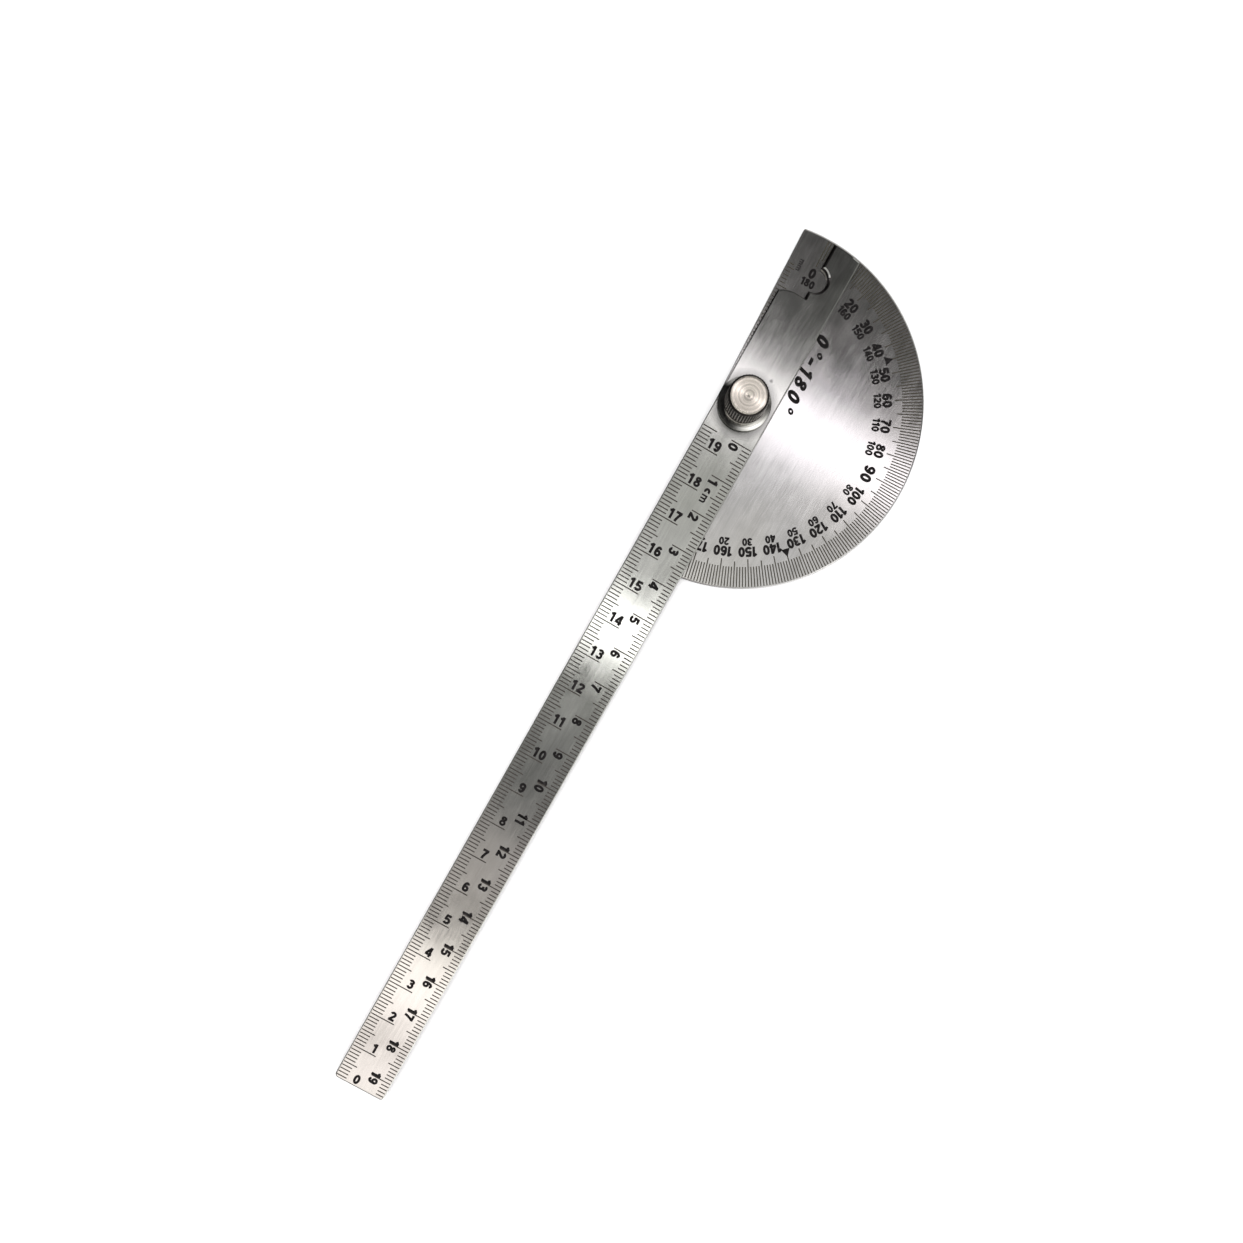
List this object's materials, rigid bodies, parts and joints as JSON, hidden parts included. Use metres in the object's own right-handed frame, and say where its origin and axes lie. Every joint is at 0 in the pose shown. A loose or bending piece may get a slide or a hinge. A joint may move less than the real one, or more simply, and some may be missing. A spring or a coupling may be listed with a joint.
{
  "type": "protractor",
  "caption": "Flat steel protractor: half-round degree head with a swinging ruled arm, clamped by a knurled knob on a flush pivot stud.",
  "frame": {"origin": "on the pivot axis, in the flat rear face that the protractor lies on", "axes": "+X along the arm to the end of its ruler, +Y into the half-round head, +Z out of the front face along the pivot"},
  "size_m": [0.25, 0.0543, 0.0148],
  "materials": {
    "head_steel": "brushed, black filled scale",
    "arm_steel": "brushed, black filled scale",
    "knob_steel": "turned top, straight knurled grip",
    "stud_steel": "turned",
    "spring_steel": "blued spring steel",
    "washer_brass": "plain"
  },
  "bodies": {
    "head": {"head_plate": "head_steel", "pivot_stud": "stud_steel"},
    "arm": {"arm_blade": "arm_steel", "pivot_bush": "washer_brass", "friction_washer": "washer_brass"},
    "clamp_washers": {"thrust_washer": "washer_brass", "wave_washer": "spring_steel"},
    "knob": {"lock_knob": "knob_steel"}
  },
  "joints": [
    {"name": "arm_swing", "type": "hinge", "parent": "head", "child": "arm", "pos_m": [0, 0, 0.0024], "axis": [0, 0, -1], "continuous": true},
    {"name": "knob_turn", "type": "hinge", "parent": "head", "child": "clamp_washers", "pos_m": [0, 0, 0.0034], "axis": [0, 0, 1], "range_deg": [0, 1800]},
    {"name": "knob_lift", "type": "slide", "parent": "clamp_washers", "child": "knob", "axis": [0, 0, 1], "range_m": [0, 0.0035]}
  ],
  "couplings": [
    {"joint": "knob_lift", "follows": "knob_turn", "m_per_rad": 0.00011141}
  ]
}
